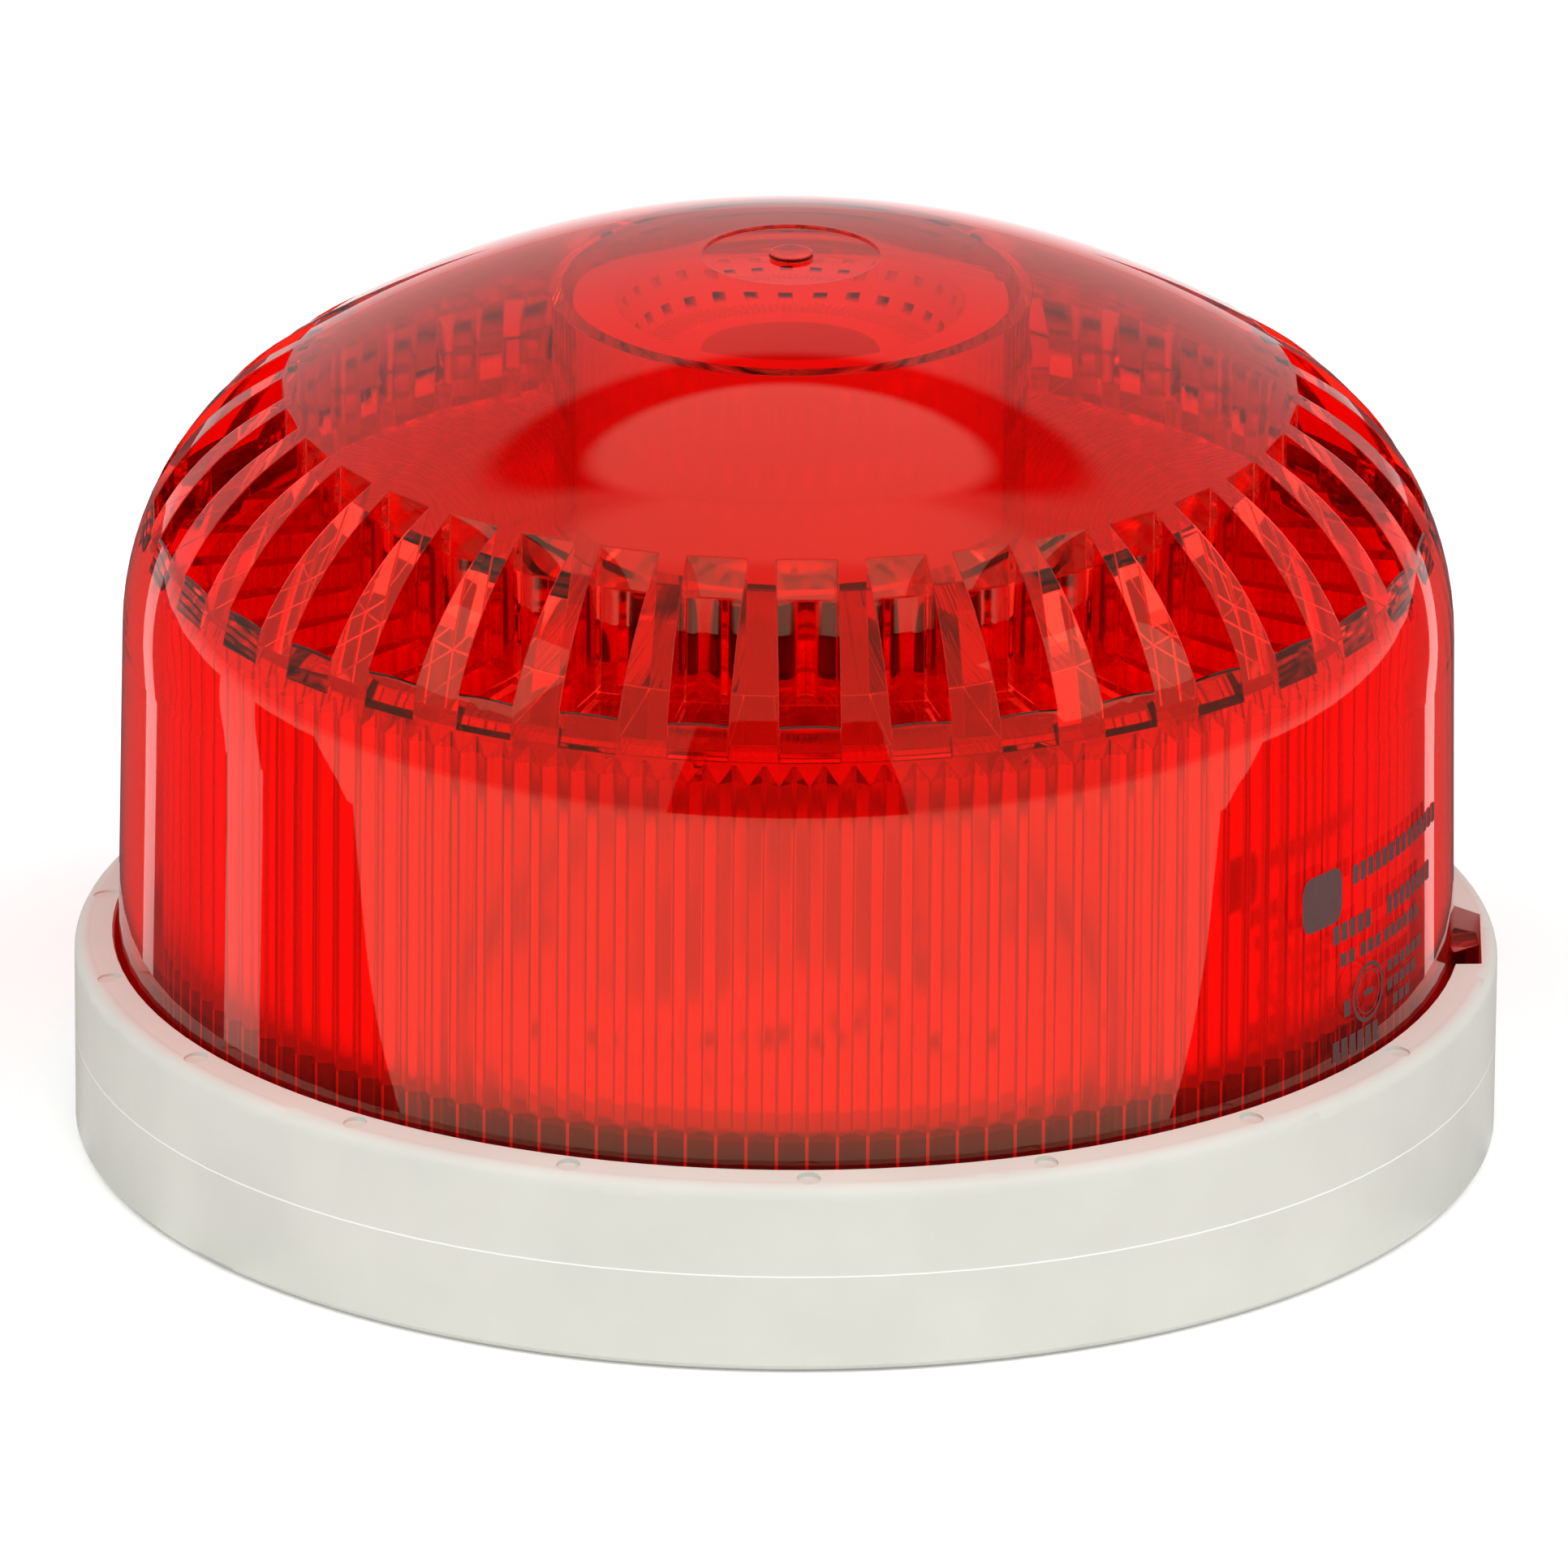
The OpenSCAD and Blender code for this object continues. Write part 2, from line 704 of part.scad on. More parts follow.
base_housing();
rear_gasket();
base_seal();
cable_grommet();
terminal_block();
terminal_clamps();
terminal_screws();
contact_springs();
chassis();
lens_seal();
outer_cover();
inner_lens();
main_board();
board_screws();
contact_pins();
strobe_leds();
led_lenses();
capacitors();
inductor();
driver_chip();
rectifier();
chip_resistors();
sounder_housing();
piezo_disc();
piezo_ceramic();
clamp_ring();
sounder_gasket();
horn_flare();
throat_grille();
sounder_leads();
tone_switch_body();
tone_slider(1);  // tone_slider_1
tone_slider(2);  // tone_slider_2
tone_slider(3);  // tone_slider_3
tone_slider(4);  // tone_slider_4
tone_slider(5);  // tone_slider_5
tone_slider(6);  // tone_slider_6
trimmer_body();
trimmer_rotor();
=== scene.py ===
"""A horn strobe: an off-white base ring and a red transparent, louvred head.

The CAD nodes keep their shapes. This script gives each of them its material, adds the marks
printed on the cover, and makes the floor, the lights and the camera.
"""

import json
import math

import bmesh
import bpy
from mathutils import Matrix, Vector


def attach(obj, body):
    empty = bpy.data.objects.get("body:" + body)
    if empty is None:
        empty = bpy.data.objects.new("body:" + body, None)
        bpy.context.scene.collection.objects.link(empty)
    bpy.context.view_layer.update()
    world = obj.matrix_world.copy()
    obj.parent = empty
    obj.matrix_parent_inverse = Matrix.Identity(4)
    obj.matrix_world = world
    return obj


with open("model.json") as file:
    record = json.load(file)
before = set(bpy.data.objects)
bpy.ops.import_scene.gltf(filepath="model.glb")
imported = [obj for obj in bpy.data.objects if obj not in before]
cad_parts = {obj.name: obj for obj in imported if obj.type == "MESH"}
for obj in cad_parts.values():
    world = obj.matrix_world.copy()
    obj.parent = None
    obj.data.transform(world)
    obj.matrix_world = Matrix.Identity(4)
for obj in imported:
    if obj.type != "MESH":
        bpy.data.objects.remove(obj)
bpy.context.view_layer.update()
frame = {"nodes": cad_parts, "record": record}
NODES = frame["nodes"]
MM = 0.001

# Camera ------------------------------------------------------------------------------------

CAMERA_ELEVATION = math.radians(20.34)
CAMERA_AZIMUTH = math.radians(-92.0)
CAMERA_ROLL = math.radians(0.42)
CAMERA_DISTANCE = 3.029
CAMERA_LENS = 917.6
CAMERA_AIM = Vector((-0.00024, 0.0, 0.0269))
SENSOR_WIDTH = 36.0
NEAR, FAR = 0.5, 20.0


def direction(azimuth, elevation):
    """A unit vector from angles in radians."""
    level = math.cos(elevation)
    return Vector(
        (math.cos(azimuth) * level, math.sin(azimuth) * level, math.sin(elevation))
    )


def put_in_scene(name, data):
    """A new object for a mesh, a lamp or a camera."""
    made = bpy.data.objects.new(name, data)
    bpy.context.scene.collection.objects.link(made)
    return made


def mesh_in_scene(name, mesh):
    """A new object from a bmesh, which is freed."""
    data = bpy.data.meshes.new(name)
    mesh.to_mesh(data)
    mesh.free()
    return put_in_scene(name, data)


def make_camera():
    data = bpy.data.cameras.new("camera")
    data.sensor_width = SENSOR_WIDTH
    data.lens = CAMERA_LENS
    data.clip_start, data.clip_end = NEAR, FAR
    camera = put_in_scene("camera", data)
    back = direction(CAMERA_AZIMUTH, CAMERA_ELEVATION)
    camera.location = CAMERA_AIM + back * CAMERA_DISTANCE
    turned = (-back).to_track_quat("-Z", "Y").to_matrix()
    turned = turned @ Matrix.Rotation(CAMERA_ROLL, 3, "Z")
    camera.rotation_euler = turned.to_euler()
    bpy.context.scene.camera = camera


make_camera()

# Materials ---------------------------------------------------------------------------------


def new_material(name):
    """A material with one Principled shader. Returns it, its node tree and that shader."""
    material = bpy.data.materials.new(name)
    material.use_nodes = True
    shader = material.node_tree.nodes["Principled BSDF"]
    return material, material.node_tree, shader


def link(tree, source, target):
    tree.links.new(source, target)


NOISE_ROUGHNESS = 0.55


def object_noise(tree, per_metre, detail=3.0):
    """Noise in the object's own coordinates, so that it stays on the piece when it moves."""
    place = tree.nodes.new("ShaderNodeTexCoord")
    noise = tree.nodes.new("ShaderNodeTexNoise")
    noise.inputs["Scale"].default_value = per_metre
    noise.inputs["Detail"].default_value = detail
    noise.inputs["Roughness"].default_value = NOISE_ROUGHNESS
    link(tree, place.outputs["Object"], noise.inputs["Vector"])
    return noise.outputs["Fac"]


# Most of a noise's values lie between these
NOISE_LOW, NOISE_HIGH = 0.3, 0.7


def between(tree, fac, low, high):
    """Maps a noise onto low to high."""
    span = tree.nodes.new("ShaderNodeMapRange")
    span.inputs["From Min"].default_value = NOISE_LOW
    span.inputs["From Max"].default_value = NOISE_HIGH
    span.inputs["To Min"].default_value = low
    span.inputs["To Max"].default_value = high
    link(tree, fac, span.inputs["Value"])
    return span.outputs["Result"]


def two_colours(tree, fac, first, second):
    """A colour from one to the other, as a noise rises."""
    ramp = tree.nodes.new("ShaderNodeValToRGB")
    ramp.color_ramp.elements[0].position = NOISE_LOW
    ramp.color_ramp.elements[1].position = NOISE_HIGH
    ramp.color_ramp.elements[0].color = (*first, 1)
    ramp.color_ramp.elements[1].color = (*second, 1)
    link(tree, fac, ramp.inputs["Fac"])
    return ramp.outputs["Color"]


def calculate(tree, operation, *values):
    """A Math node. Each value is a number or another node's output."""
    node = tree.nodes.new("ShaderNodeMath")
    node.operation = operation
    for socket, value in zip(node.inputs, values):
        if isinstance(value, (int, float)):
            socket.default_value = value
        else:
            link(tree, value, socket)
    return node.outputs["Value"]


def object_axes(tree):
    """The x, y and z of the object's own coordinates."""
    place = tree.nodes.new("ShaderNodeTexCoord")
    parts = tree.nodes.new("ShaderNodeSeparateXYZ")
    link(tree, place.outputs["Object"], parts.inputs["Vector"])
    return parts.outputs["X"], parts.outputs["Y"], parts.outputs["Z"]


def axis_distance_squared(tree, x, y):
    """The squared distance from the upright axis."""
    squares = [calculate(tree, "MULTIPLY", side, side) for side in (x, y)]
    return calculate(tree, "ADD", *squares)


def mixed_colour(tree, fac, first, second):
    """first where fac is 0 and second, a plain colour, where it is 1.

    first is a plain colour or another node's output.
    """
    node = tree.nodes.new("ShaderNodeMix")
    node.data_type = "RGBA"
    link(tree, fac, node.inputs["Factor"])
    if isinstance(first, tuple):
        node.inputs["A"].default_value = (*first, 1)
    else:
        link(tree, first, node.inputs["A"])
    node.inputs["B"].default_value = (*second, 1)
    return node.outputs["Result"]


def mixed_shader(tree, fac, first, second):
    """One shader where fac is 0, and the other where it is 1, as the surface."""
    node = tree.nodes.new("ShaderNodeMixShader")
    link(tree, fac, node.inputs["Fac"])
    link(tree, first, node.inputs[1])
    link(tree, second, node.inputs[2])
    link(tree, node.outputs["Shader"], tree.nodes["Material Output"].inputs["Surface"])


def radial_lines(tree, count, low_z, out_r):
    """Uneven lines that run out from the axis, above a height and inside a radius."""
    x, y, z = object_axes(tree)
    turn = calculate(tree, "MULTIPLY", calculate(tree, "ARCTAN2", y, x), count / math.tau)
    noise = tree.nodes.new("ShaderNodeTexNoise")
    noise.noise_dimensions = "1D"
    noise.inputs["Scale"].default_value = 1.0
    noise.inputs["Detail"].default_value = 1.0
    link(tree, turn, noise.inputs["W"])
    squares = axis_distance_squared(tree, x, y)
    inside = calculate(tree, "LESS_THAN", squares, out_r * out_r)
    above = calculate(tree, "GREATER_THAN", z, low_z)
    mask = calculate(tree, "MULTIPLY", inside, above)
    return calculate(tree, "MULTIPLY", noise.outputs["Fac"], mask)


BEVEL_SAMPLES = 4


def bump(tree, shader, height, strength, distance, edge=0.0, under=None):
    """Fine relief from a height.

    edge is the radius that the shader gives to sharp edges, and under is a relief below this one.
    """
    node = tree.nodes.new("ShaderNodeBump")
    if edge:
        rounded = tree.nodes.new("ShaderNodeBevel")
        rounded.samples = BEVEL_SAMPLES
        rounded.inputs["Radius"].default_value = edge
        link(tree, rounded.outputs["Normal"], node.inputs["Normal"])
    if under:
        link(tree, under.outputs["Normal"], node.inputs["Normal"])
    node.inputs["Strength"].default_value = strength
    node.inputs["Distance"].default_value = distance
    link(tree, height, node.inputs["Height"])
    link(tree, node.outputs["Normal"], shader.inputs["Normal"])


PATCHES_PER_METRE = 90
GRAIN_STRENGTH = 0.5


def moulded(name, first, second, rough=(0.38, 0.5), grain=2600, depth=0.02 * MM, metal=0.0):
    """An opaque surface: two close colours, uneven gloss and a fine grain."""
    material, tree, shader = new_material(name)
    patches = object_noise(tree, PATCHES_PER_METRE)
    link(tree, two_colours(tree, patches, first, second), shader.inputs["Base Color"])
    fine = object_noise(tree, grain, detail=2.0)
    link(tree, between(tree, fine, *rough), shader.inputs["Roughness"])
    shader.inputs["Metallic"].default_value = metal
    bump(tree, shader, fine, GRAIN_STRENGTH, depth)
    return material


GLOSS_TINT = (1.0, 0.66, 0.42)
PLASTIC_INDEX = 1.58
WAVE_STRENGTH, WAVE_DEPTH = 0.06, 0.05 * MM
SOFT_EDGE = 0.18 * MM


def clear_plastic(name, tint, lamp_tint, rough, waves):
    """A see-through moulding. Lamps reach what is behind it, straight through its walls."""
    material, tree, shader = new_material(name)
    shader.inputs["Base Color"].default_value = (*tint, 1)
    shader.inputs["Transmission Weight"].default_value = 1.0
    shader.inputs["IOR"].default_value = PLASTIC_INDEX
    shader.inputs["Specular Tint"].default_value = (*GLOSS_TINT, 1)
    flow = object_noise(tree, waves, detail=2.0)
    link(tree, between(tree, flow, *rough), shader.inputs["Roughness"])
    bump(tree, shader, flow, WAVE_STRENGTH, WAVE_DEPTH, edge=SOFT_EDGE)
    path = tree.nodes.new("ShaderNodeLightPath")
    either = calculate(
        tree, "MAXIMUM", path.outputs["Is Shadow Ray"], path.outputs["Is Diffuse Ray"]
    )
    through = tree.nodes.new("ShaderNodeBsdfTransparent")
    through.inputs["Color"].default_value = (*lamp_tint, 1)
    mixed_shader(tree, either, shader.outputs["BSDF"], through.outputs["BSDF"])
    return material


WHITE = ((0.84, 0.84, 0.80), (0.88, 0.88, 0.84))

MATERIALS = {
    "base_plastic": moulded(
        "base_plastic", (0.56, 0.56, 0.51), (0.60, 0.60, 0.545), (0.42, 0.55)
    ),
    "red_cover": clear_plastic(
        "red_cover", (0.87, 0.018, 0.010), (1.0, 0.15, 0.11), (0.0, 0.03), 160
    ),
    "red_lens": clear_plastic(
        "red_lens", (0.89, 0.020, 0.012), (1.0, 0.16, 0.12), (0.02, 0.07), 260
    ),
    "dark_plastic": moulded("dark_plastic", (0.10, 0.10, 0.105), (0.13, 0.13, 0.135)),
    "white_plastic": moulded("white_plastic", *WHITE),
    "rubber": moulded("rubber", (0.020, 0.020, 0.021), (0.034, 0.034, 0.035), (0.6, 0.8)),
    "terminal_green": moulded("terminal_green", (0.05, 0.26, 0.10), (0.07, 0.31, 0.13)),
    "brass": moulded("brass", (0.72, 0.52, 0.19), (0.78, 0.60, 0.26), (0.2, 0.34), metal=1.0),
    "plated_steel": moulded(
        "plated_steel", (0.60, 0.60, 0.61), (0.70, 0.70, 0.71), (0.22, 0.36), metal=1.0
    ),
    "board_white": moulded("board_white", *WHITE, (0.25, 0.35)),
    "led_white": moulded("led_white", (0.84, 0.83, 0.76), (0.88, 0.87, 0.80), (0.3, 0.4)),
    "silicone": moulded("silicone", (0.74, 0.74, 0.70), (0.80, 0.80, 0.76), (0.5, 0.65)),
    "led_silicone": moulded("led_silicone", (0.86, 0.66, 0.14), (0.90, 0.73, 0.22), (0.1, 0.2)),
    "capacitor_sleeve": moulded("capacitor_sleeve", (0.40, 0.40, 0.42), (0.46, 0.46, 0.48)),
    "ferrite": moulded("ferrite", (0.05, 0.05, 0.05), (0.08, 0.08, 0.08), (0.5, 0.7)),
    "chip_black": moulded("chip_black", (0.02, 0.02, 0.02), (0.035, 0.035, 0.035), (0.4, 0.6)),
    "ceramic": moulded("ceramic", (0.66, 0.66, 0.62), (0.74, 0.74, 0.70), (0.3, 0.45)),
    "wire_red": moulded("wire_red", (0.45, 0.02, 0.015), (0.55, 0.03, 0.02), (0.25, 0.35)),
    "switch_blue": moulded("switch_blue", (0.03, 0.08, 0.32), (0.04, 0.11, 0.38)),
    "switch_white": moulded("switch_white", (0.82, 0.82, 0.79), (0.87, 0.87, 0.84)),
}

FIBRE_COUNT = 620
FIBRE_LOW_Z = 38 * MM
FIBRE_OUT_R = 38.5 * MM
FIBRE_STRENGTH, FIBRE_DEPTH = 0.7, 0.1 * MM


def add_fibres(material):
    """The fine radial lines on the lens's lip and deck."""
    tree = material.node_tree
    shader = tree.nodes["Principled BSDF"]
    under = shader.inputs["Normal"].links[0].from_node
    lines = radial_lines(tree, FIBRE_COUNT, FIBRE_LOW_Z, FIBRE_OUT_R)
    bump(tree, shader, lines, FIBRE_STRENGTH, FIBRE_DEPTH, under=under)


FLUTES = 132
# A line's half width, and a root line's share of it, in steps from flute to flute
FLUTE_LINE = 0.055
ROOT_SHARE = 0.7
LINE_WEIGHT = 0.7
# Painted shade for the lines above the chassis, and painted highlight for the lines in front of it
LINE_SHADE_ABOVE_BAND = (0.42, 0.012, 0.008)
LINE_HIGHLIGHT_ON_BAND = (1.0, 0.20, 0.12)
FLUTE_IN_R = 45.9 * MM
FLUTE_TOP_Z = 44.3 * MM
# Under this height the wall is in front of the chassis, and it is neither frosted nor given its
# painted glow
BAND_Z = 16.5 * MM
WALL_FROST = 0.2
# Painted glow: an emission that stands in for light that the frosted wall scatters within itself
WALL_PAINTED_GLOW = (1.0, 0.045, 0.012, 1)
WALL_PAINTED_GLOW_STRENGTH = 0.19


def add_painted_flute_lines(material):
    """Diffuse lines on the flutes' tips and roots, and a frosted wall with a painted glow.

    The lines are painted shade and painted highlight: darker than the wall above the chassis, and
    brighter than it in front of it.
    """
    tree = material.node_tree
    shader = tree.nodes["Principled BSDF"]
    clear = tree.nodes["Material Output"].inputs["Surface"].links[0].from_socket
    x, y, z = object_axes(tree)
    turns = calculate(tree, "MULTIPLY", calculate(tree, "ARCTAN2", y, x), FLUTES / math.tau)
    half_step = calculate(tree, "ABSOLUTE", calculate(tree, "WRAP", turns, 0.5, -0.5))
    at_tip = calculate(tree, "LESS_THAN", half_step, FLUTE_LINE)
    at_root = calculate(tree, "GREATER_THAN", half_step, 0.5 - ROOT_SHARE * FLUTE_LINE)
    squares = axis_distance_squared(tree, x, y)
    outside = calculate(tree, "GREATER_THAN", squares, FLUTE_IN_R * FLUTE_IN_R)
    on_wall = calculate(tree, "MULTIPLY", calculate(tree, "LESS_THAN", z, FLUTE_TOP_Z), outside)
    low = calculate(tree, "LESS_THAN", z, BAND_Z)
    high = calculate(tree, "SUBTRACT", 1.0, low)
    line = calculate(tree, "MAXIMUM", at_tip, calculate(tree, "MULTIPLY", at_root, high))
    line = calculate(tree, "MULTIPLY", line, on_wall)
    line = calculate(tree, "MULTIPLY", line, LINE_WEIGHT)
    # Painted shade and painted highlight: the lines are dark above the chassis and bright in front
    # of it
    scatter = tree.nodes.new("ShaderNodeBsdfDiffuse")
    colour = mixed_colour(tree, low, LINE_SHADE_ABOVE_BAND, LINE_HIGHLIGHT_ON_BAND)
    link(tree, colour, scatter.inputs["Color"])
    mixed_shader(tree, line, clear, scatter.outputs["BSDF"])
    frosted = calculate(tree, "MULTIPLY", on_wall, high)
    frost = tree.nodes.new("ShaderNodeMix")
    link(tree, frosted, frost.inputs["Factor"])
    link(tree, shader.inputs["Roughness"].links[0].from_socket, frost.inputs["A"])
    frost.inputs["B"].default_value = WALL_FROST
    link(tree, frost.outputs["Result"], shader.inputs["Roughness"])
    # Painted glow: the frosted wall emits light, though it is no lamp
    shader.inputs["Emission Color"].default_value = WALL_PAINTED_GLOW
    glow = calculate(tree, "MULTIPLY", frosted, WALL_PAINTED_GLOW_STRENGTH)
    link(tree, glow, shader.inputs["Emission Strength"])


SEAM_Z = 7.6 * MM
SEAM_HALF = 0.06 * MM
SEAM_COLOUR = (0.80, 0.80, 0.77)


def add_seam(material):
    """The faint line where the two halves of the base's mould met."""
    tree = material.node_tree
    shader = tree.nodes["Principled BSDF"]
    colour = shader.inputs["Base Color"].links[0].from_socket
    z = object_axes(tree)[2]
    away = calculate(tree, "ABSOLUTE", calculate(tree, "SUBTRACT", z, SEAM_Z))
    on_seam = calculate(tree, "LESS_THAN", away, SEAM_HALF)
    lighter = mixed_colour(tree, on_seam, colour, SEAM_COLOUR)
    link(tree, lighter, shader.inputs["Base Color"])


# Painted shade: the horn's throat under the baffle is painted dark, where it lies in shade
THROAT_TOP_Z = 48.5 * MM
THROAT_SHADE_COLOUR = (0.03, 0.028, 0.028)


def add_painted_throat_shade(material):
    """Painted shade: the horn is painted near black under the cover's baffle, and is pale above
    it.
    """
    tree = material.node_tree
    shader = tree.nodes["Principled BSDF"]
    pale = shader.inputs["Base Color"].links[0].from_socket
    in_throat = calculate(tree, "LESS_THAN", object_axes(tree)[2], THROAT_TOP_Z)
    colour = mixed_colour(tree, in_throat, pale, THROAT_SHADE_COLOUR)
    link(tree, colour, shader.inputs["Base Color"])


add_fibres(MATERIALS["red_lens"])
add_painted_flute_lines(MATERIALS["red_lens"])
add_seam(MATERIALS["base_plastic"])

for row in frame["record"]["subparts"]:
    node = NODES[row["node"]]
    node.data.materials.clear()
    node.data.materials.append(MATERIALS[row["material_slot"]])

# The horn's material carries painted shade in its throat
horn_painted_shade_plastic = moulded("horn_painted_shade_plastic", *WHITE)
add_painted_throat_shade(horn_painted_shade_plastic)
NODES["horn_flare"].data.materials[0] = horn_painted_shade_plastic

# Printed marks -----------------------------------------------------------------------------

# Plain shapes stand for the print on the wall: a square, rows of blocks, and two rings. Their
# measures are in millimetres, and a place is (along the wall, height).
WALL_FOOT = (50.8, 4.2)  # radius and height
WALL_TOP = (50.4, 39.38)
INK_PROUD = 0.03
INK = ((0.07, 0.026, 0.025), (0.09, 0.036, 0.034))
PRINT_ANGLE = math.radians(-42.0)
BLOCK_W, BLOCK_GAP = 0.85, 0.28
SQUARE_AT, SQUARE_SIZE = (2.5, 29.15), (5.0, 4.4)
SQUARE_CORNER, SQUARE_STEPS = 1.1, 16
# (along, height, length, height of a block)
WORDS = [
    (6.45, 30.0, 8.4, 1.5),
    (15.6, 30.0, 7.0, 1.5),
    (3.8, 25.9, 5.9, 1.5),
    (11.8, 25.9, 8.2, 1.5),
    (4.8, 23.66, 2.2, 1.1),
    (7.6, 23.66, 3.1, 1.1),
    (11.3, 23.66, 6.5, 1.1),
    (5.3, 19.6, 0.9, 1.3),
    (11.9, 21.0, 6.8, 0.9),
    (11.9, 19.5, 5.2, 0.9),
    (12.9, 18.0, 3.6, 0.9),
    (3.8, 16.55, 6.0, 1.6),
]
RING_AT = (8.83, 20.0)
RINGS = [(2.02, 2.35), (1.62, 1.74)]
RING_BAR = (1.4, 0.5)
RING_SEGMENTS = 48


def wall_point(along, height):
    """A point just over the cover's wall, from millimetres along the print and up."""
    share = (height - WALL_FOOT[1]) / (WALL_TOP[1] - WALL_FOOT[1])
    radius = WALL_FOOT[0] + share * (WALL_TOP[0] - WALL_FOOT[0])
    angle = PRINT_ANGLE + along / radius
    radius += INK_PROUD
    return Vector((radius * math.cos(angle), radius * math.sin(angle), height)) * MM


def print_block(mesh, along, height, width, tall, corner=0.0, steps=1):
    """A block from along, centred on height, in columns that follow the wall round."""
    columns = []
    for i in range(steps + 1):
        u = width * i / steps
        near_end = min(u, width - u)
        short = max(corner - near_end, 0.0)
        inset = corner - math.sqrt(max(corner * corner - short * short, 0.0))
        half = tall / 2 - inset
        columns.append(
            [mesh.verts.new(wall_point(along + u, height + h)) for h in (-half, half)]
        )
    for (a, b), (c, d) in zip(columns, columns[1:]):
        mesh.faces.new((a, c, d, b))


def print_ring(mesh, along, height, in_r, out_r):
    """A flat ring, from its middle and its two radii."""
    rims = []
    for i in range(RING_SEGMENTS):
        t = math.tau * i / RING_SEGMENTS
        rims.append([
            mesh.verts.new(wall_point(along + r * math.cos(t), height + r * math.sin(t)))
            for r in (in_r, out_r)
        ])
    for (a, b), (c, d) in zip(rims, rims[1:] + rims[:1]):
        mesh.faces.new((a, b, d, c))


def make_print():
    """The marks on the wall, which turn with the head."""
    mesh = bmesh.new()
    left = SQUARE_AT[0] - SQUARE_SIZE[0] / 2
    print_block(mesh, left, SQUARE_AT[1], *SQUARE_SIZE, SQUARE_CORNER, SQUARE_STEPS)
    for along, height, length, tall in WORDS:
        blocks = max(round((length + BLOCK_GAP) / (BLOCK_W + BLOCK_GAP)), 1)
        for i in range(blocks):
            print_block(mesh, along + i * (BLOCK_W + BLOCK_GAP), height, BLOCK_W, tall)
    for in_r, out_r in RINGS:
        print_ring(mesh, *RING_AT, in_r, out_r)
    print_block(mesh, RING_AT[0] - RING_BAR[0] / 2, RING_AT[1], *RING_BAR)
    marks = mesh_in_scene("print", mesh)
    marks.data.materials.append(moulded("ink", *INK, (0.5, 0.7)))
    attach(marks, "head")


make_print()

# Stage -------------------------------------------------------------------------------------

FLOOR_SIDE = 6.0
FLOOR_DROP = 0.2 * MM
FLOOR_CARD = ((0.95, 0.95, 0.95), (0.96, 0.96, 0.96))
FLOOR_GRAIN, FLOOR_GRAIN_DEPTH = 400, 0.01 * MM
FLOOR_GLOW_STRENGTH = 0.12
WHITE_LIGHT = (1, 1, 1, 1)


def make_floor():
    """A pale floor, lit a little from below like a photographer's table."""
    mesh = bmesh.new()
    bmesh.ops.create_grid(mesh, x_segments=1, y_segments=1, size=FLOOR_SIDE / 2)
    floor = mesh_in_scene("floor", mesh)
    floor.location.z = -FLOOR_DROP
    material = moulded("floor_card", *FLOOR_CARD, (0.8, 0.9), FLOOR_GRAIN, FLOOR_GRAIN_DEPTH)
    shader = material.node_tree.nodes["Principled BSDF"]
    shader.inputs["Emission Color"].default_value = WHITE_LIGHT
    shader.inputs["Emission Strength"].default_value = FLOOR_GLOW_STRENGTH
    floor.data.materials.append(material)


LIGHT_AIM = Vector((0, 0, 0.03))


def towards(azimuth, elevation):
    """A direction from angles in degrees, where azimuth 0 is the camera's own side."""
    return direction(CAMERA_AZIMUTH + math.radians(azimuth), math.radians(elevation))


def aim_at_object(made, azimuth, elevation, distance):
    """Places a light or a card at angles in degrees, turned to the object."""
    back = towards(azimuth, elevation)
    made.location = LIGHT_AIM + back * distance
    made.rotation_euler = (-back).to_track_quat("-Z", "Y").to_euler()


def soft_light(name, azimuth, elevation, distance, size, radiance, mirrored=True):
    """A soft box facing the object. One that isn't mirrored doesn't show in gloss."""
    data = bpy.data.lights.new(name, "AREA")
    data.shape = "RECTANGLE"
    data.size, data.size_y = size
    data.energy = radiance * math.pi * size[0] * size[1]
    lamp = put_in_scene(name, data)
    aim_at_object(lamp, azimuth, elevation, distance)
    lamp.visible_glossy = mirrored
    lamp.visible_camera = False


def card_material(name, radiance):
    """What a studio card shows in gloss: an even, plain glow."""
    material = bpy.data.materials.new(name)
    material.use_nodes = True
    tree = material.node_tree
    tree.nodes.remove(tree.nodes["Principled BSDF"])
    glow = tree.nodes.new("ShaderNodeEmission")
    glow.inputs["Color"].default_value = WHITE_LIGHT
    glow.inputs["Strength"].default_value = radiance
    link(tree, glow.outputs["Emission"], tree.nodes["Material Output"].inputs["Surface"])
    return material


def hide_from_all_but_gloss(made):
    """Only reflections show the card."""
    for ray in ("camera", "diffuse", "transmission", "shadow", "volume_scatter"):
        setattr(made, "visible_" + ray, False)


def card(name, corners, radiance):
    """A studio card that only reflections show.

    Its corners are (towards the camera, right, up), in metres.
    """
    ahead, aside = towards(0, 0), towards(90, 0)
    mesh = bmesh.new()
    mesh.faces.new(
        [mesh.verts.new(ahead * t + aside * r + Vector((0, 0, h))) for t, r, h in corners]
    )
    made = mesh_in_scene(name, mesh)
    made.data.materials.append(card_material(name, radiance))
    hide_from_all_but_gloss(made)


DISC_SEGMENTS = 64


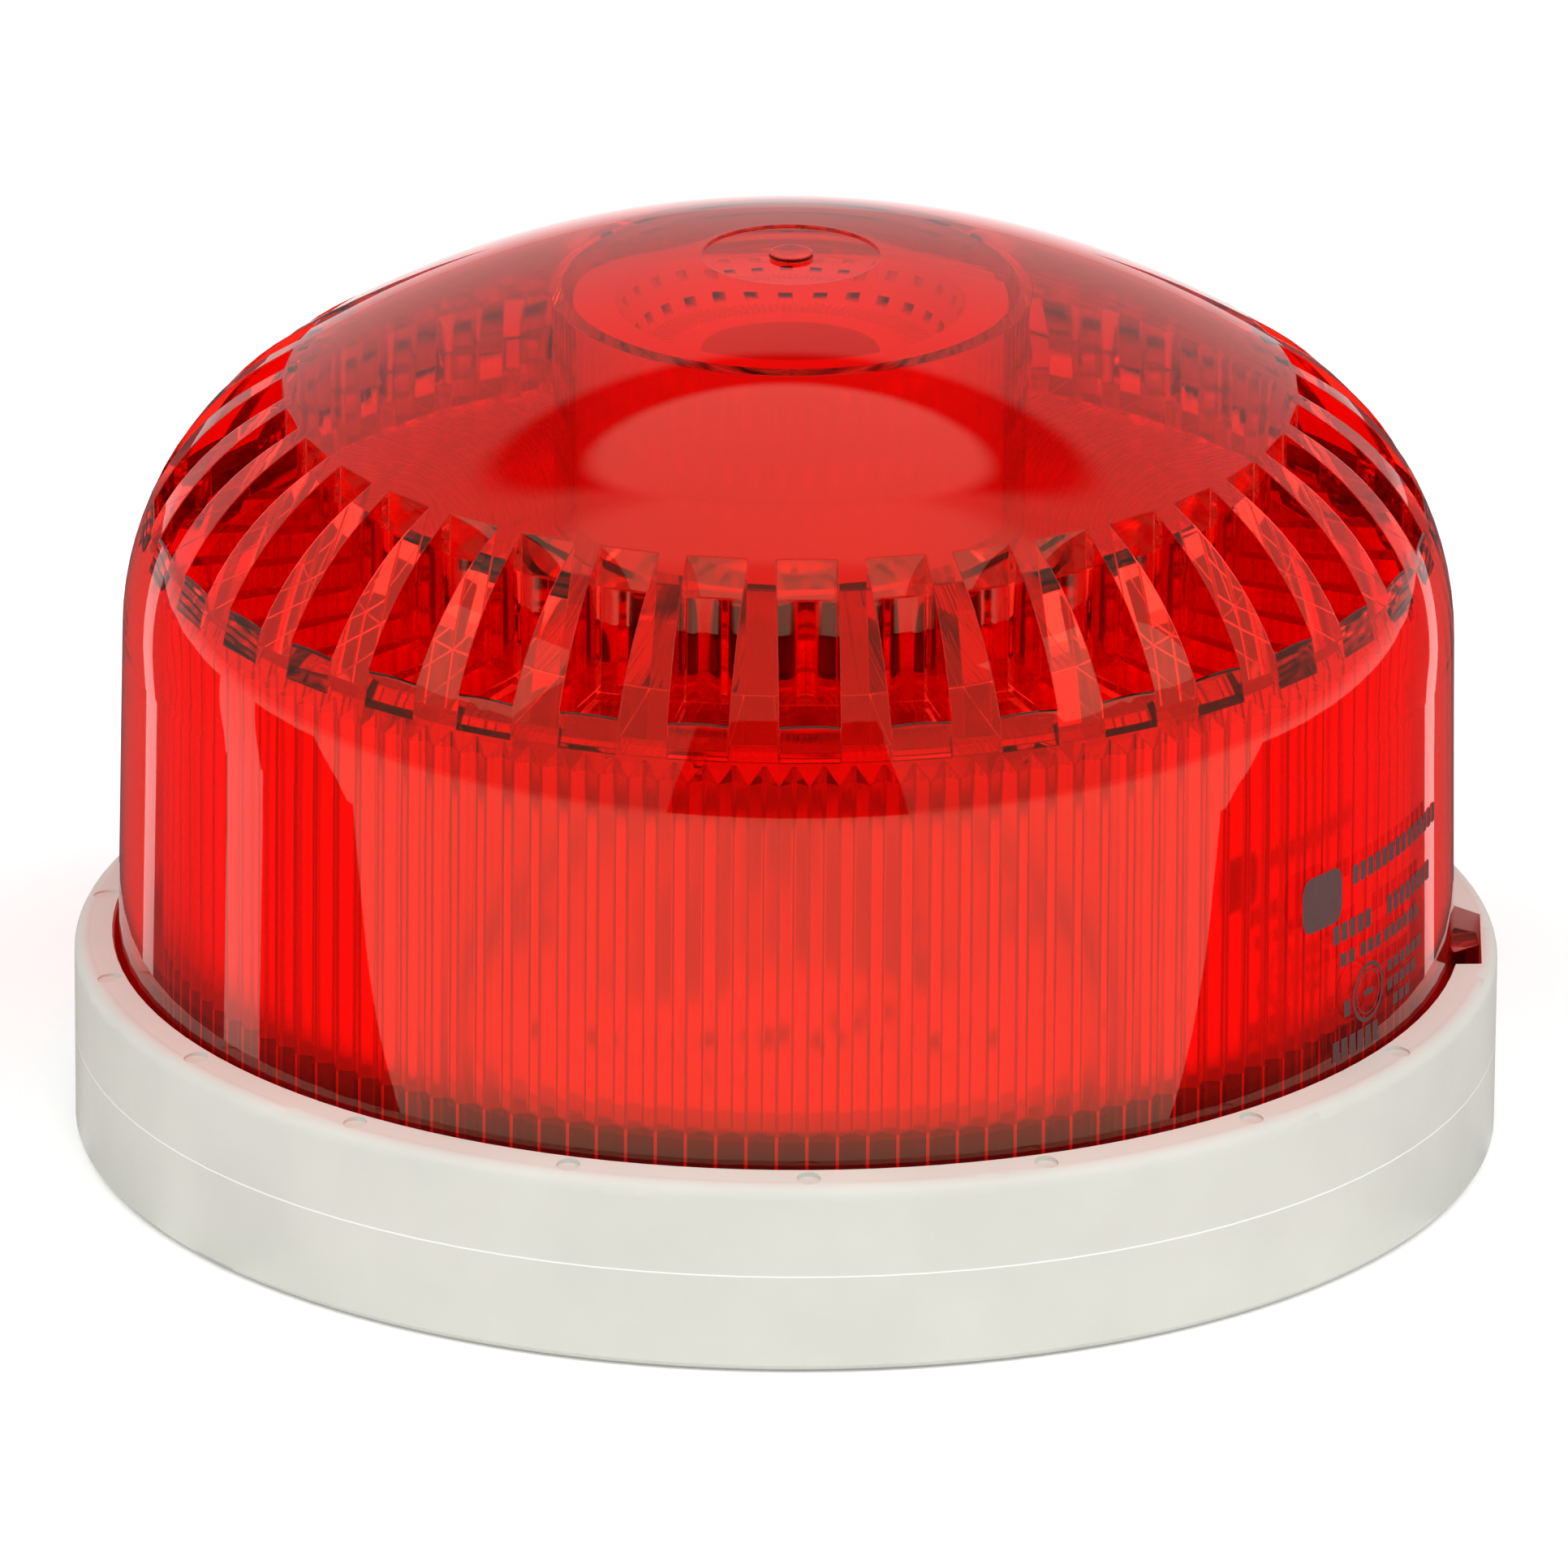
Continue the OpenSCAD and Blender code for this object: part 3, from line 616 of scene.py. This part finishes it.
def soft_disc(name, azimuth, elevation, distance, size, radiance, core):
    """An oval card facing the object that fades out from core, a share of its size, to its rim."""
    mesh = bmesh.new()
    bmesh.ops.create_circle(mesh, cap_ends=True, segments=DISC_SEGMENTS, radius=1.0)
    made = mesh_in_scene(name, mesh)
    material = card_material(name, radiance)
    tree = material.node_tree
    place = tree.nodes.new("ShaderNodeTexCoord")
    fade = tree.nodes.new("ShaderNodeTexGradient")
    fade.gradient_type = "SPHERICAL"
    link(tree, place.outputs["Object"], fade.inputs["Vector"])
    curve = tree.nodes.new("ShaderNodeMapRange")
    curve.interpolation_type = "SMOOTHSTEP"
    curve.inputs["From Max"].default_value = 1.0 - core
    link(tree, fade.outputs["Fac"], curve.inputs["Value"])
    beyond = tree.nodes.new("ShaderNodeBsdfTransparent").outputs["BSDF"]
    glow = tree.nodes["Emission"].outputs["Emission"]
    mixed_shader(tree, curve.outputs["Result"], beyond, glow)
    made.data.materials.append(material)
    aim_at_object(made, azimuth, elevation, distance)
    made.scale = (size[0] / 2, size[1] / 2, 1)
    hide_from_all_but_gloss(made)


FLOOR_CARD_Z = 0.1 * MM
MIRROR_R = 50.6 * MM
REACH = 0.6
# The nearest dark card's straight edge: how far towards the camera it is, and where its inner end
# starts, in mirror radii
FLOOR_EDGE = 0.057
EDGE_START = 1.2


def mirror_line(normal):
    """Where the floor is seen in the upright wall, whose normal is at an angle from the camera.

    Returns the line's two ends, as (towards camera, right).
    """
    a = math.radians(normal)
    start = (MIRROR_R * math.cos(a), MIRROR_R * math.sin(a))
    return start, (start[0] + REACH * math.cos(2 * a), start[1] + REACH * math.sin(2 * a))


def dark_floor(name, first, last, radiance):
    """A dark card on the floor, where the wall shows it between two normals, in degrees."""
    (a, b), (c, d) = mirror_line(first), mirror_line(last)
    card(name, [(*place, FLOOR_CARD_Z) for place in (a, b, d, c)], radiance)


def dark_floor_to_edge(name, side, last, radiance):
    """The dark card nearest the camera, from a straight edge to a normal, in degrees."""
    near, far = mirror_line(last)
    edge = [(FLOOR_EDGE, side * MIRROR_R * EDGE_START), (FLOOR_EDGE, side * REACH)]
    card(name, [(*place, FLOOR_CARD_Z) for place in (*edge, far, near)], radiance)


WORLD_STRENGTH = 0.5


def make_world():
    world = bpy.data.worlds.new("studio")
    world.use_nodes = True
    sky = world.node_tree.nodes["Background"]
    sky.inputs["Color"].default_value = WHITE_LIGHT
    sky.inputs["Strength"].default_value = WORLD_STRENGTH
    bpy.context.scene.world = world


make_floor()
make_world()
soft_light("left_box", -65, 38, 1.0, (0.5, 0.5), 0.85)
soft_light("left_fill", -70, 46, 1.0, (0.7, 0.7), 1.8, mirrored=False)
soft_light("right_fill", 70, 46, 1.0, (0.7, 0.7), 2.3, mirrored=False)
soft_light("right_box", 65, 38, 1.0, (0.5, 0.5), 1.1)
soft_disc("top_disc", 180, 66.5, 0.8, (0.52, 0.32), 1.0, 0.85)
soft_disc("top_gap", 180, 61.5, 0.85, (0.86, 0.40), 0.03, 0.82)
soft_disc("overhead_disc", 180, 80.0, 0.9, (1.5, 0.26), 1.0, 0.5)
soft_light("fill_box", 0, 55, 1.2, (1.2, 0.8), 2.1, mirrored=False)
dark_floor_to_edge("left_near", -1, -51.5, 0.07)
dark_floor("left_middle", -56.7, -70.8, 0.10)
dark_floor("left_far", -73.8, -89.0, 0.10)
dark_floor_to_edge("right_near", 1, 72.5, 0.07)
dark_floor("right_far", 75.5, 89.0, 0.10)
card(
    "camera_side",
    [(1.0, -0.36, -0.05), (1.0, 0.36, -0.05), (1.0, 0.30, 0.75), (1.0, -0.30, 0.75)],
    0.05,
)

# Light crosses many walls of clear plastic before it comes out again
BOUNCES = 48
TRANSPARENT_BOUNCES = 64
scene = bpy.context.scene
scene.view_settings.view_transform = "Standard"
scene.cycles.max_bounces = BOUNCES
scene.cycles.glossy_bounces = BOUNCES
scene.cycles.transmission_bounces = BOUNCES
scene.cycles.transparent_max_bounces = TRANSPARENT_BOUNCES
